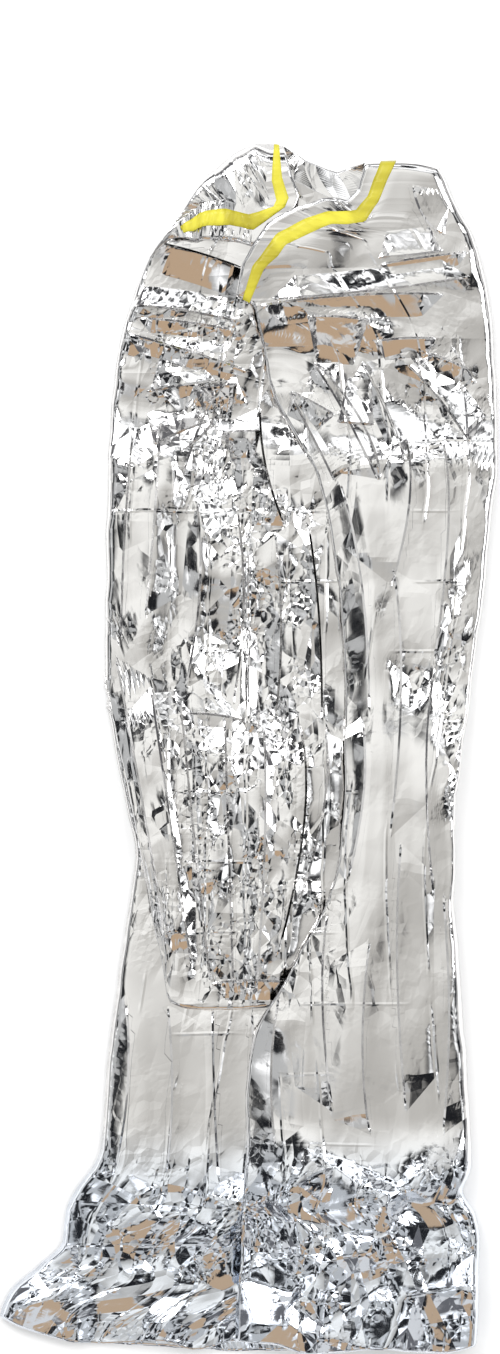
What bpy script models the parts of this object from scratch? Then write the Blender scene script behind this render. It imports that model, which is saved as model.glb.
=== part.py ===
"""Emergency foil blanket, folded on a flat surface, with yellow tape along its top edge.

One rectangular foil sheet is wrapped as a flat spiral of three layers. The back lies on the
surface. The left flap turns over it at the left fold and carries a drooping pouch, which is a
Z fold. The right flap turns over both at the right fold. The top border of the back is turned
forward over the shoulder line as a collar. The length left over is heaped at the hem.

Each point of the sheet has a row, from the top edge down to the hem, and a share of its layer's
width, counted from the side fold. X is the sheet's right, +Y its collar end and +Z up.
"""

import bpy
import numpy as np

MM = 0.001

# Driving sizes, in metres
SHEET_THICK = 0.001
LAYER_GAP = 0.009
FLAP_GAP = 0.010
POUCH_LIFT = 0.015
EDGE_SAG = 0.003
HEAP_GAP = 0.011
COVERED = 0.8
COVER_WIDTH = 0.09
TAPE_THICK = 0.0006
TAPE_INSET = 0.019
TAPE_WIDTH = 0.020
TAPE_END = TAPE_INSET + TAPE_WIDTH
BORDER_WIDTH = 0.050
PIECE_GAP = 0.0003

# Where the pouch rises and ends, where the right flap comes down off it, how far the collar
# lifts the right flap, and where the heap at the hem loosens it: from and to, in metres from
# the hem or from the middle
POUCH_FOOT = (0.38, 0.46)
POUCH_HEAD = (0.79, 0.92)
OVER_POUCH = (0.27, 0.47)
COLLAR_SIDE = (0.08, 0.17)
COLLAR_FRONT = (1.39, 1.48)
HEAP_HEAD = (0.22, 0.32)

# Rows where the cloth changes its way: under the border, and at the shoulder line, the pouch's
# lower fold, the fold behind it, and the hem
BORDER_ROW = 3
SHOULDER_ROW = 8
POUCH_ROW = 36
TUCK_ROW = 42
HEM_ROW = 78
TURN_ROWS = 2
TURN_REACH = 0.45
TURN_STEPS = 9
COLLAR_FOLD_ROW = 2
COLLAR_FADE_ROWS = 5

# How far down the border each of its rows is, with the tape between rows 1 and 2, and how far
# down the collar its rows are: 1 at the border's lower line and 2 at the shoulder line
BORDER_DOWN = ((0, 0), (1, TAPE_INSET / BORDER_WIDTH), (2, TAPE_END / BORDER_WIDTH), (3, 1))
COLLAR_DOWN = BORDER_DOWN + ((6, 1.75), (7, 1.93), (8, 2))

# Lines down the sheet: row, x, y (millimetres, y up from the hem)
LEFT_FOLD = (
    (0, -103, 1512), (8, -136, 1485), (11, -160, 1425), (14, -177, 1364), (18, -188, 1284),
    (24, -193, 1163), (30, -196, 1042), (36, -197, 922), (42, -194, 874), (44, -175, 774),
    (46, -156, 673), (47, -162, 623), (49, -177, 522), (51, -190, 422), (54, -204, 272),
    (60, -237, 218), (63.5, -252, 184), (66, -254, 150), (70, -286, 116), (74.5, -324, 82),
    (78, -340, 48),
)
RIGHT_FOLD = (
    (0, 156, 1614), (3, 205, 1616), (8, 254, 1608), (10, 284, 1546), (12, 311, 1486),
    (13.5, 324, 1439), (15.4, 329, 1374), (19.4, 336, 1238), (23.4, 325, 1102),
    (27.4, 309, 966), (30.4, 296, 864), (33.4, 280, 762), (36, 277, 673), (42, 282, 551),
    (50, 296, 354), (54, 301, 258), (58, 290, 220), (61, 306, 186), (64, 311, 150),
    (71, 309, 82), (78, 305, 11),
)
RIGHT_EDGE = (
    (0, -19, 1431), (3, 5, 1417), (8, 14, 1379), (14, 34, 1292), (20, 92, 1183),
    (25.8, 122, 1020), (29.8, 129, 884), (33.8, 125, 748), (36.3, 118, 658),
    (42.2, 68, 544), (44.5, 38, 490), (47, 4, 428), (50, -5, 354), (54, -7, 258),
    (65, -12, 150), (78, -20, 20),
)
LEFT_EDGE = (
    (0, 238, 1480), (8, 248, 1428), (20, 258, 1183), (36, 245, 496), (42, 253, 664),
    (54, 258, 258), (78, 265, 27),
)

# Lines across a layer: share of its width, x, y
LEFT_TOP = (
    (0.09, -73, 1542), (0.18, -48, 1553), (0.34, 0, 1557), (0.45, 34, 1534),
    (0.6, 95, 1503), (0.8, 170, 1489),
)
LEFT_SHOULDER = (
    (0.09, -98, 1493), (0.18, -57, 1493), (0.34, 0, 1480), (0.45, 41, 1448),
    (0.6, 98, 1428), (0.8, 177, 1428),
)
POUCH = (
    (0.05, -180, 836), (0.09, -158, 728), (0.13, -141, 636), (0.18, -122, 544),
    (0.21, -109, 476), (0.34, -52, 465), (0.45, 4, 466), (0.6, 68, 469), (0.8, 150, 476),
)
TUCK = (
    (0.05, -152, 815), (0.09, -126, 752), (0.13, -102, 704), (0.18, -78, 673),
    (0.25, -48, 650), (0.34, -20, 639), (0.45, 16, 636), (0.6, 75, 639), (0.8, 163, 646),
)
LEFT_HEM = (
    (0.05, -279, 23), (0.13, -207, 10), (0.25, -122, 16), (0.34, -75, 3), (0.45, -14, 14),
    (0.6, 68, 7), (0.8, 163, 16),
)
BACK_HEM = ((0.08, -258, 16), (0.27, -163, 8), (0.5, 0, 0), (0.8, 190, 1))
RIGHT_HEM = ((0.174, 258, 1), (0.413, 177, 10), (0.667, 88, 0), (0.84, 34, 12))
COLLAR_EDGE = (
    (0.08, -86, 1508), (0.16, -64, 1507), (0.27, -26, 1506), (0.36, 8, 1497),
    (0.44, 72, 1560), (0.5, 56, 1598), (0.56, 46, 1634), (0.575, 60, 1627), (0.66, 84, 1613),
    (0.8, 118, 1601),
)
COLLAR_INNER = (
    (0.08, -98, 1529), (0.16, -72, 1554), (0.27, -35, 1564), (0.36, -7, 1554),
    (0.44, 29, 1552), (0.5, 22, 1587), (0.56, 29, 1637), (0.575, 47, 1621), (0.66, 78, 1601),
    (0.8, 126, 1584),
)
SHOULDER = (
    (0.08, -114, 1515), (0.16, -90, 1552), (0.27, -64, 1590), (0.36, -38, 1611),
    (0.44, -20, 1626), (0.5, -6, 1634), (0.56, 8, 1637), (0.575, 25, 1616), (0.66, 70, 1586),
    (0.8, 138, 1560),
)
RIGHT_TOP = (
    (0.174, 147, 1575), (0.268, 132, 1560), (0.34, 121, 1564), (0.413, 97, 1563),
    (0.54, 63, 1550), (0.667, 22, 1529), (0.75, 4, 1503), (0.84, -10, 1474),
)
RIGHT_INNER = (
    (0.174, 182, 1553), (0.268, 162, 1525), (0.34, 135, 1518), (0.413, 116, 1518),
    (0.54, 83, 1504), (0.667, 54, 1491), (0.75, 46, 1478), (0.84, 27, 1461),
)

# Columns of each layer, as shares of its width from its side fold; the back's run left to right
LEFT_COLUMNS = (0, 0.015, 0.05, 0.09, 0.13, 0.18, 0.24, 0.31, 0.38, 0.45, 0.55, 0.75, 1)
BACK_COLUMNS = (
    0, 0.012, 0.04, 0.08, 0.16, 0.27, 0.36, 0.44, 0.5, 0.56, 0.575, 0.66, 0.8, 0.96, 0.988, 1,
)
RIGHT_COLUMNS = (
    0, 0.029, 0.1, 0.174, 0.268, 0.34, 0.413, 0.48, 0.54, 0.6, 0.667, 0.75, 0.84, 0.92, 1,
)
LEFT_TURN = 0.05
BACK_TURN = 0.04
RIGHT_TURN = 0.1
COLLAR_TAPE = (0.08, 0.56)
COLLAR_END = 0.56
COLLAR_END_TURN = 0.015
POUCH_TURN = 0.1
EDGE_STRIP = 0.9
SIDE_REACH = 0.17

FOIL_COLOUR = (0.86, 0.87, 0.88)
FOIL_ROUGHNESS = 0.16
TAPE_COLOUR = (0.80, 0.68, 0.04)
TAPE_ROUGHNESS = 0.45

# Soft ridges. Each follows an arc from its start through its middle to its end.
# layers it lifts, start x, y, middle x, y, end x, y, half width, height (millimetres)
RIDGES = (
    ("all", (0, 1440), (-80, 1380), (-185, 1390), 30, 8),
    ("all", (0, 1400), (-90, 1345), (-165, 1372), 26, 10),
    ("flaps", (-5, 1360), (-60, 1310), (-180, 1320), 34, 12),
    ("flaps", (-15, 1300), (-60, 1200), (-70, 1060), 30, 9),
    ("flaps", (10, 1290), (-10, 1180), (-20, 960), 26, 10),
    ("flaps", (-60, 1260), (-120, 1180), (-130, 980), 34, 8),
    ("flaps", (-150, 980), (-110, 760), (-100, 520), 30, 12),
    ("flaps", (-90, 960), (-60, 760), (-40, 500), 26, 12),
    ("flaps", (-10, 940), (10, 740), (0, 500), 28, 12),
    ("flaps", (60, 960), (60, 800), (40, 560), 26, 10),
    ("right", (20, 1400), (150, 1440), (300, 1475), 26, 6),
    ("right", (20, 1380), (160, 1400), (320, 1400), 34, 7),
    ("right", (60, 1400), (170, 1290), (215, 1180), 36, 8),
    ("right", (215, 1200), (250, 1000), (240, 760), 44, 8),
    ("right", (90, 1380), (220, 1340), (300, 1220), 32, 7),
    ("right", (60, 1290), (140, 1180), (165, 1000), 34, 6),
    ("right", (165, 1020), (180, 800), (170, 560), 40, 6),
    ("right", (240, 760), (235, 500), (245, 300), 44, 6),
    ("right", (150, 600), (130, 450), (110, 280), 40, 6),
    ("all", (-150, 440), (-140, 340), (-160, 230), 40, 6),
    ("all", (-60, 450), (-50, 340), (-60, 230), 40, 6),
    ("all", (40, 440), (60, 340), (50, 230), 40, 5),
    ("all", (-230, 218), (-90, 240), (85, 212), 34, 20),
    ("all", (120, 207), (210, 228), (300, 195), 34, 20),
    ("all", (-262, 150), (-110, 178), (0, 145), 36, 27),
    ("all", (45, 155), (170, 132), (312, 150), 36, 27),
    ("all", (-290, 92), (-160, 112), (-60, 86), 34, 28),
    ("all", (-15, 92), (130, 72), (310, 96), 34, 28),
    ("all", (-320, 52), (-200, 48), (-110, 40), 30, 20),
    ("all", (-70, 38), (60, 30), (155, 42), 30, 22),
    ("all", (195, 38), (250, 50), (310, 40), 30, 20),
)
ARC_STEPS = 8


def smooth(value, start, end):
    """0 before start, 1 after end, and 3f^2 - 2f^3 between them."""
    share = np.clip((value - start) / (end - start), 0, 1)
    return share * share * (3 - 2 * share)


def through(knots, points, at):
    """A smooth curve through a table's rows, which never swings past them.

    Between two rows it is a cubic. Its slope at a row is the harmonic mean of the slopes on
    both sides, or 0 where these have opposite signs.
    """
    step = np.diff(knots)[:, None]
    slope = np.diff(points, axis=0) / step
    product = slope[:-1] * slope[1:]
    total = np.where(product > 0, slope[:-1] + slope[1:], 1)
    inner = np.where(product > 0, 2 * product / total, 0)
    tangent = np.vstack([slope[:1], inner, slope[-1:]])
    i = np.clip(np.searchsorted(knots, at, "right") - 1, 0, len(knots) - 2)
    f = ((at - knots[i]) / step[i, 0])[:, None]
    start = (1 + 2 * f) * (1 - f) ** 2 * points[i] + f * (1 - f) ** 2 * step[i] * tangent[i]
    end = f * f * (3 - 2 * f) * points[i + 1] - f * f * (1 - f) * step[i] * tangent[i + 1]
    return start + end


def squeezed(rows, folds):
    """Row numbers drawn together round each fold, as rows that run round a quarter circle."""
    away = np.linspace(-1, 1, TURN_STEPS)
    knots = [0.0]
    placed = [0.0]
    for fold in folds:
        knots.extend(fold + TURN_ROWS * away)
        placed.extend(fold + TURN_REACH * np.sign(away) * (1 - np.cos(away * np.pi / 2)))
    return np.interp(rows, knots + [HEM_ROW], placed + [HEM_ROW])


def down_line(table, rows, folds=()):
    table = np.array(table, float)
    return through(table[:, 0], table[:, 1:] * MM, squeezed(rows, folds))


def across_line(table, shares, start, end):
    """The line across a layer whose ends lie on the layer's two side lines."""
    table = np.array(table, float)
    knots = np.concatenate([[0], table[:, 0], [1]])
    return through(knots, np.vstack([start, table[:, 1:] * MM, end]), shares)


def progress(left, right):
    """The share of the way down at each row, as the mean over a patch's two sides."""
    shares = []
    for line in (left, right):
        lengths = np.cumsum(np.linalg.norm(np.diff(line, axis=0), axis=1))
        shares.append(np.concatenate([[0], lengths / lengths[-1]]))
    return (shares[0] + shares[1]) / 2


def coons(top, bottom, left, right, shares):
    """The Coons patch between four lines: rulings down, plus rulings across, less corners."""
    v = progress(left, right)[:, None, None]
    u = shares[None, :, None]
    down = (1 - v) * top + v * bottom
    over = (1 - u) * left[:, None] + u * right[:, None]
    ends = (1 - u) * down[:, :1] + u * down[:, -1:]
    return down + over - ends


def meet_sides(plan, left, right, shares):
    """The plan, moved near each side so that its ends lie on the layer's two side lines."""
    u = shares[None, :, None]
    near_left = np.clip(1 - u / SIDE_REACH, 0, 1)
    near_right = np.clip(1 - (1 - u) / SIDE_REACH, 0, 1)
    moved = (left[:, None] - plan[:, :1]) * near_left + (right[:, None] - plan[:, -1:]) * near_right
    return plan + moved


def round_fold(shares, turn):
    """0 at a side fold, rising as a quarter circle to 1 where the turn ends."""
    return np.sqrt(1 - (1 - np.clip(shares / turn, 0, 1)) ** 2)


def round_row(rows, fold):
    """0 at a fold across the sheet, rising as a quarter circle over the rows beside it."""
    return np.sin(np.clip(np.abs(rows - fold) / TURN_ROWS, 0, 1) * np.pi / 2)


def ridge(x, y, corners, half_width, height):
    """h cos^2(pi d / 2w) at a distance d under w from the arc, and 0 beyond."""
    start, middle, end = np.array(corners, float) * MM
    bend = 2 * middle - (start + end) / 2
    f = np.linspace(0, 1, ARC_STEPS + 1)[:, None]
    arc = (1 - f) ** 2 * start + 2 * f * (1 - f) * bend + f * f * end
    nearest = np.full(x.shape, np.inf)
    for a, b in zip(arc[:-1], arc[1:]):
        run = b - a
        along = np.clip(((x - a[0]) * run[0] + (y - a[1]) * run[1]) / (run @ run), 0, 1)
        away = np.hypot(x - a[0] - along * run[0], y - a[1] - along * run[1])
        nearest = np.minimum(nearest, away)
    near = np.clip(nearest / (half_width * MM), 0, 1)
    return height * MM * np.cos(near * np.pi / 2) ** 2


def ridges(layer, x, y):
    total = np.zeros(x.shape)
    for name, *corners, half_width, height in RIDGES:
        if name == layer:
            total += ridge(x, y, corners, half_width, height)
    return total


def shown(x, y):
    """1 where the left flap shows, less where the right flap covers it and holds it down."""
    line = np.array(RIGHT_EDGE, float)[::-1, 1:] * MM
    return 1 - COVERED * smooth(x - np.interp(y, line[:, 1], line[:, 0]), 0, COVER_WIDTH)


def under_height(x, y):
    """The left flap below its pouch and behind it."""
    return SHEET_THICK / 2 + LAYER_GAP + ridges("all", x, y) * shown(x, y)


def front_height(x, y):
    """The front of the left flap, before its pouch is lifted."""
    return under_height(x, y) + ridges("flaps", x, y) * shown(x, y)


def flap_height(x, y):
    """As high as the front of the left flap would be if nothing covered it."""
    return SHEET_THICK / 2 + LAYER_GAP + ridges("all", x, y) + ridges("flaps", x, y)


def pouch_height(y, foot=POUCH_FOOT):
    """How far the pouch, or the right flap where foot is wider, is lifted off what is below."""
    return POUCH_LIFT * smooth(y, *foot) * (1 - smooth(y, *POUCH_HEAD))


def right_height(x, y):
    """The right flap, above the left flap, its pouch and the collar."""
    over_collar = (1 - smooth(x, *COLLAR_SIDE)) * smooth(y, *COLLAR_FRONT)
    lift = pouch_height(y, OVER_POUCH) + FLAP_GAP * over_collar
    loose = HEAP_GAP * (1 - smooth(y, *HEAP_HEAD))
    return flap_height(x, y) + lift + loose + FLAP_GAP + ridges("right", x, y)


def left_fold_height(rows, fold):
    """Half way between the layers that the left fold joins.

    These are the back and the left flap below the shoulder, and the flap and the collar above.
    """
    flap = flap_height(fold[:, 0], fold[:, 1])
    back = SHEET_THICK / 2
    to_collar = FLAP_GAP * (1 - smooth(rows, SHOULDER_ROW, SHOULDER_ROW + COLLAR_FADE_ROWS))
    to_flap = (flap - back) * (1 - smooth(rows, COLLAR_FOLD_ROW, SHOULDER_ROW))
    return (back + flap + to_collar + to_flap) / 2


def left_flap(rows, shares):
    """The left flap: down to the pouch's fold, back up behind it, and down to the hem."""
    folds = (SHOULDER_ROW, POUCH_ROW, TUCK_ROW)
    fold = down_line(LEFT_FOLD, rows, folds)
    edge = down_line(LEFT_EDGE, rows, folds)
    stops = (0, SHOULDER_ROW, POUCH_ROW, TUCK_ROW, HEM_ROW)
    tables = (LEFT_TOP, LEFT_SHOULDER, POUCH, TUCK, LEFT_HEM)
    ends = [down_line(table, np.array(stops, float)) for table in (LEFT_FOLD, LEFT_EDGE)]
    lines = [across_line(t, shares, a, b) for t, a, b in zip(tables, *ends)]
    plan = np.zeros((len(rows), len(shares), 2))
    for i in range(4):
        band = (rows >= stops[i]) & (rows <= stops[i + 1])
        plan[band] = coons(lines[i], lines[i + 1], fold[band], edge[band], shares)
    x, y = plan[..., 0], plan[..., 1]
    row = rows[:, None]
    opening = smooth(shares, 0, POUCH_TURN)
    front = front_height(x, y) + pouch_height(y) * opening
    behind = under_height(x, y)
    between = behind + POUCH_LIFT / 2 * opening
    height = np.where(row <= POUCH_ROW, front, np.where(row <= TUCK_ROW, between, behind))
    for stop, above, below in ((POUCH_ROW, front, between), (TUCK_ROW, between, behind)):
        half_way = (above + below) / 2
        height = half_way + (height - half_way) * round_row(row, stop)
    at_fold = left_fold_height(rows, fold)[:, None]
    height = at_fold + (height - at_fold) * round_fold(shares, LEFT_TURN)
    return np.dstack([plan, height])


def right_fold_height(fold):
    return (SHEET_THICK / 2 + right_height(fold[:, 0], fold[:, 1])) / 2


def collar(rows, shares, fold, far_fold):
    """The collar, turned forward over the shoulder line, and the back's edge at the neck."""
    ends = fold[0], far_fold[0]
    edge = across_line(COLLAR_EDGE, shares, *ends)
    shoulder = across_line(SHOULDER, shares, fold[-1], far_fold[-1])
    middle = (fold[BORDER_ROW], far_fold[BORDER_ROW])
    inner = across_line(COLLAR_INNER, shares, *middle)
    v = np.interp(rows, *np.transpose(COLLAR_DOWN))[:, None, None]
    plan = np.where(v <= 1, edge + (inner - edge) * v, inner + (shoulder - inner) * (v - 1))
    return meet_sides(plan, fold, far_fold, shares)


def back(rows, shares):
    """The layer that lies flat on the surface, with the collar at its top."""
    fold = down_line(LEFT_FOLD, rows, (SHOULDER_ROW, POUCH_ROW, TUCK_ROW))
    far_fold = down_line(RIGHT_FOLD, rows, (SHOULDER_ROW,))
    top = rows <= SHOULDER_ROW
    main = rows >= SHOULDER_ROW
    shoulder = across_line(SHOULDER, shares, fold[main][0], far_fold[main][0])
    hem = across_line(BACK_HEM, shares, fold[-1], far_fold[-1])
    plan = np.zeros((len(rows), len(shares), 2))
    plan[main] = coons(shoulder, hem, fold[main], far_fold[main], shares)
    plan[top] = collar(rows[top], shares, fold[top], far_fold[top])
    x, y = plan[..., 0], plan[..., 1]
    floor = SHEET_THICK / 2
    full = flap_height(x, y) + FLAP_GAP - floor
    at_shoulder = round_row(rows[:, None], SHOULDER_ROW)
    before_end = round_fold(np.maximum(COLLAR_END - shares, 0), COLLAR_END_TURN)
    past_end = round_fold(np.maximum(shares - COLLAR_END, 0), COLLAR_END_TURN)
    over = 1 + at_shoulder * before_end
    turned = np.where(top[:, None], over, 1 - at_shoulder) * (1 - past_end) * full / 2
    near_left = 1 - round_fold(shares, BACK_TURN)
    near_right = 1 - round_fold(1 - shares, BACK_TURN)
    left = (left_fold_height(rows, fold)[:, None] - floor) * near_left
    right = (right_fold_height(far_fold)[:, None] - floor) * near_right
    collar_lift = turned * (1 - near_left) + left
    lift = np.where(top[:, None], np.maximum(collar_lift, right), np.maximum(turned, left + right))
    return np.dstack([plan, floor + lift])


def right_flap(rows, shares):
    """The right flap, with its taped border along the neck and its edge down the front."""
    fold = down_line(RIGHT_FOLD, rows, (SHOULDER_ROW,))
    edge = down_line(RIGHT_EDGE, rows)
    top = across_line(RIGHT_TOP, shares, fold[0], edge[0])
    border = rows <= BORDER_ROW
    main = rows >= BORDER_ROW
    inner = across_line(RIGHT_INNER, shares, fold[main][0], edge[main][0])
    hem = across_line(RIGHT_HEM, shares, fold[-1], edge[-1])
    plan = np.zeros((len(rows), len(shares), 2))
    plan[main] = coons(inner, hem, fold[main], edge[main], shares)
    v = np.interp(rows[border], *np.transpose(BORDER_DOWN))[:, None, None]
    plan[border] = meet_sides(top + (inner - top) * v, fold[border], edge[border], shares)
    x, y = plan[..., 0], plan[..., 1]
    near_neck = 1 - smooth(rows, 0, BORDER_ROW)[:, None]
    sag = EDGE_SAG * np.maximum(near_neck, smooth(shares, EDGE_STRIP, 1))
    at_fold = right_fold_height(fold)[:, None]
    height = at_fold + (right_height(x, y) - sag - at_fold) * round_fold(shares, RIGHT_TURN)
    return np.dstack([plan, height])


def sheet_points():
    """The middle surface of the sheet: rows down, columns from the left flap's edge round."""
    rows = np.arange(HEM_ROW + 1, dtype=float)
    left = left_flap(rows, np.array(LEFT_COLUMNS, float))[:, ::-1]
    middle = back(rows, np.array(BACK_COLUMNS, float))
    right = right_flap(rows, np.array(RIGHT_COLUMNS, float))
    return np.concatenate([left[:, :-1], middle[:, :-1], right], axis=1)


def normals(points):
    """Unit normals of a grid, on the side that faces away when the blanket is worn."""
    across = np.gradient(points, axis=1)
    down = np.gradient(points, axis=0)
    cross = np.cross(across, down)
    return cross / np.linalg.norm(cross, axis=2, keepdims=True)


def add_strip(name, points, thick, material, collection):
    """A grid of points as an open surface of triangles, made solid."""
    height, width = points.shape[:2]
    index = np.arange(height * width).reshape(height, width)
    a, b = index[:-1, :-1], index[:-1, 1:]
    c, d = index[1:, 1:], index[1:, :-1]
    faces = np.concatenate([np.dstack([a, d, c]), np.dstack([a, c, b])]).reshape(-1, 3)
    mesh = bpy.data.meshes.new(name)
    mesh.from_pydata(points.reshape(-1, 3).tolist(), [], faces.tolist())
    mesh.materials.append(material)
    mesh.validate()
    strip = bpy.data.objects.new(name, mesh)
    collection.objects.link(strip)
    shell = strip.modifiers.new("thickness", "SOLIDIFY")
    shell.thickness = thick
    shell.offset = 0
    return strip


def make_material(name, colour, roughness, metallic):
    material = bpy.data.materials.new(name)
    material.use_nodes = True
    shader = material.node_tree.nodes["Principled BSDF"]
    shader.inputs["Base Color"].default_value = (*colour, 1)
    shader.inputs["Roughness"].default_value = roughness
    shader.inputs["Metallic"].default_value = metallic
    return material


def clear_scene():
    for thing in list(bpy.data.objects):
        bpy.data.objects.remove(thing)


def main():
    clear_scene()
    collection = bpy.data.collections.new("emergency_foil_blanket")
    bpy.context.scene.collection.children.link(collection)
    foil = make_material("silver_foil", FOIL_COLOUR, FOIL_ROUGHNESS, 1.0)
    yellow = make_material("yellow_tape", TAPE_COLOUR, TAPE_ROUGHNESS, 0.0)

    points = sheet_points()
    low, high = points.min(axis=(0, 1)), points.max(axis=(0, 1))
    points[..., :2] -= (low[:2] + high[:2]) / 2  # the origin is in the middle of the underside
    add_strip("foil_sheet", points, SHEET_THICK, foil, collection)

    offset = SHEET_THICK / 2 + PIECE_GAP + TAPE_THICK / 2
    taped = (points + normals(points) * offset)[1:BORDER_ROW]
    back_start = len(LEFT_COLUMNS) - 1
    right_start = back_start + len(BACK_COLUMNS) - 1
    first, last = (back_start + BACK_COLUMNS.index(share) for share in COLLAR_TAPE)
    add_strip("collar_tape", taped[:, first : last + 1], TAPE_THICK, yellow, collection)
    add_strip("front_tape", taped[:, right_start:], TAPE_THICK, yellow, collection)


main()
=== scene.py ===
# %% [markdown]
# # An emergency foil blanket, folded on the floor
#
# A foil blanket is one rectangle of plastic film, thinner than a hair, with a mirror coat of
# aluminium. It has no thickness to speak of and doesn't stretch, so everything that the eye
# sees is creases and what the flat facets between them reflect. This lesson builds it as one
# surface worked out with numpy, and lets facets, sharp creases and a patchy studio do the
# rest.

import bpy
import numpy as np
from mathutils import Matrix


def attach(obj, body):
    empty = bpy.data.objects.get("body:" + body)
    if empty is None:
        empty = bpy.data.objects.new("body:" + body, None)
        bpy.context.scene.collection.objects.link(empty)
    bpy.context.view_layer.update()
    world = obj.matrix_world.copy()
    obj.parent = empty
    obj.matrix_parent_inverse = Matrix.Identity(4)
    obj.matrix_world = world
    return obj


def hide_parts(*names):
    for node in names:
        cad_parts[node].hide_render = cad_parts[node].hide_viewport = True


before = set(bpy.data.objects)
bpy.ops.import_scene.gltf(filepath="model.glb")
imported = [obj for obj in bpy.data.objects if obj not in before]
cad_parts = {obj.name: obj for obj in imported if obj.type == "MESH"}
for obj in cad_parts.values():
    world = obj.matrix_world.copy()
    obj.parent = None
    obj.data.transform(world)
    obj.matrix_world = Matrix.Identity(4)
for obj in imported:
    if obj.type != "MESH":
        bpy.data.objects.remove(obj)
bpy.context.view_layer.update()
MM = 0.001

# %% [markdown]
# ## Where the sheet lies
#
# The blanket is wrapped as a flat spiral of three layers: the back on the floor, the left
# flap over it, and the right flap over both. The top border of the back is turned forward as
# a collar, the left flap sags into a pouch, and the spare length is heaped at the hem. Each
# point of the sheet has a row, 0 at the top edge and 78 at the hem, and a share of its
# layer's width, counted from its side fold. The lines below are the same as the solid's, so
# the fine sheet lies on its folds.

# %% Sizes of the sheet
SHEET_THICK = 0.001
FILM_THICK = 0.0004
BORDER_ROW, SHOULDER_ROW, POUCH_ROW, TUCK_ROW, HEM_ROW = 3, 8, 36, 42, 78
TAPE_ROWS = (1, 2)
TAPE_INSET, TAPE_END, BORDER_WIDTH = 0.019, 0.039, 0.050
# Row, and share of the way down: 0 at the edge, 1 below the border, 2 at the shoulder line
BORDER_DOWN = ((0, 0), (1, TAPE_INSET / BORDER_WIDTH), (2, TAPE_END / BORDER_WIDTH), (3, 1))
COLLAR_DOWN = BORDER_DOWN + ((6, 1.75), (7, 1.93), (8, 2))

# %% Lines down the sheet: row, x, y (millimetres, y up from the hem)
LEFT_FOLD = (
    (0, -103, 1512), (8, -136, 1485), (11, -160, 1425), (14, -177, 1364), (18, -188, 1284),
    (24, -193, 1163), (30, -196, 1042), (36, -197, 922), (42, -194, 874), (44, -175, 774),
    (46, -156, 673), (47, -162, 623), (49, -177, 522), (51, -190, 422), (54, -204, 272),
    (60, -237, 218), (63.5, -252, 184), (66, -254, 150), (70, -286, 116), (74.5, -324, 82),
    (78, -340, 48),
)
RIGHT_FOLD = (
    (0, 156, 1614), (3, 205, 1616), (8, 254, 1608), (10, 284, 1546), (12, 311, 1486),
    (13.5, 324, 1439), (15.4, 329, 1374), (19.4, 336, 1238), (23.4, 325, 1102),
    (27.4, 309, 966), (30.4, 296, 864), (33.4, 280, 762), (36, 277, 673), (42, 282, 551),
    (50, 296, 354), (54, 301, 258), (58, 290, 220), (61, 306, 186), (64, 311, 150),
    (71, 309, 82), (78, 305, 11),
)
RIGHT_EDGE = (
    (0, -19, 1431), (3, 5, 1417), (8, 14, 1379), (14, 34, 1292), (20, 92, 1183),
    (25.8, 122, 1020), (29.8, 129, 884), (33.8, 125, 748), (36.3, 118, 658),
    (42.2, 68, 544), (44.5, 38, 490), (47, 4, 428), (50, -5, 354), (54, -7, 258),
    (65, -12, 150), (78, -20, 20),
)
LEFT_EDGE = (
    (0, 238, 1480), (8, 248, 1428), (20, 258, 1183), (36, 245, 496), (42, 253, 664),
    (54, 258, 258), (78, 265, 27),
)
print("lines down:", len(LEFT_FOLD) + len(RIGHT_FOLD) + len(RIGHT_EDGE) + len(LEFT_EDGE), "points")

# %% Lines across a layer: share of its width, x, y
LEFT_TOP = (
    (0.09, -73, 1542), (0.18, -48, 1553), (0.34, 0, 1557), (0.45, 34, 1534),
    (0.6, 95, 1503), (0.8, 170, 1489),
)
LEFT_SHOULDER = (
    (0.09, -98, 1493), (0.18, -57, 1493), (0.34, 0, 1480), (0.45, 41, 1448),
    (0.6, 98, 1428), (0.8, 177, 1428),
)
POUCH = (
    (0.05, -180, 836), (0.09, -158, 728), (0.13, -141, 636), (0.18, -122, 544),
    (0.21, -109, 476), (0.34, -52, 465), (0.45, 4, 466), (0.6, 68, 469), (0.8, 150, 476),
)
TUCK = (
    (0.05, -152, 815), (0.09, -126, 752), (0.13, -102, 704), (0.18, -78, 673),
    (0.25, -48, 650), (0.34, -20, 639), (0.45, 16, 636), (0.6, 75, 639), (0.8, 163, 646),
)
LEFT_HEM = (
    (0.05, -279, 23), (0.13, -207, 10), (0.25, -122, 16), (0.34, -75, 3), (0.45, -14, 14),
    (0.6, 68, 7), (0.8, 163, 16),
)
BACK_HEM = ((0.08, -258, 16), (0.27, -163, 8), (0.5, 0, 0), (0.8, 190, 1))
RIGHT_HEM = ((0.174, 258, 1), (0.413, 177, 10), (0.667, 88, 0), (0.84, 34, 12))
COLLAR_EDGE = (
    (0.08, -86, 1508), (0.16, -64, 1507), (0.27, -26, 1506), (0.36, 8, 1497),
    (0.44, 72, 1560), (0.5, 56, 1598), (0.56, 46, 1634), (0.575, 60, 1627), (0.66, 84, 1613),
    (0.8, 118, 1601),
)
COLLAR_INNER = (
    (0.08, -98, 1529), (0.16, -72, 1554), (0.27, -35, 1564), (0.36, -7, 1554),
    (0.44, 29, 1552), (0.5, 22, 1587), (0.56, 29, 1637), (0.575, 47, 1621), (0.66, 78, 1601),
    (0.8, 126, 1584),
)
SHOULDER = (
    (0.08, -114, 1515), (0.16, -90, 1552), (0.27, -64, 1590), (0.36, -38, 1611),
    (0.44, -20, 1626), (0.5, -6, 1634), (0.56, 8, 1637), (0.575, 25, 1616), (0.66, 70, 1586),
    (0.8, 138, 1560),
)
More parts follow.
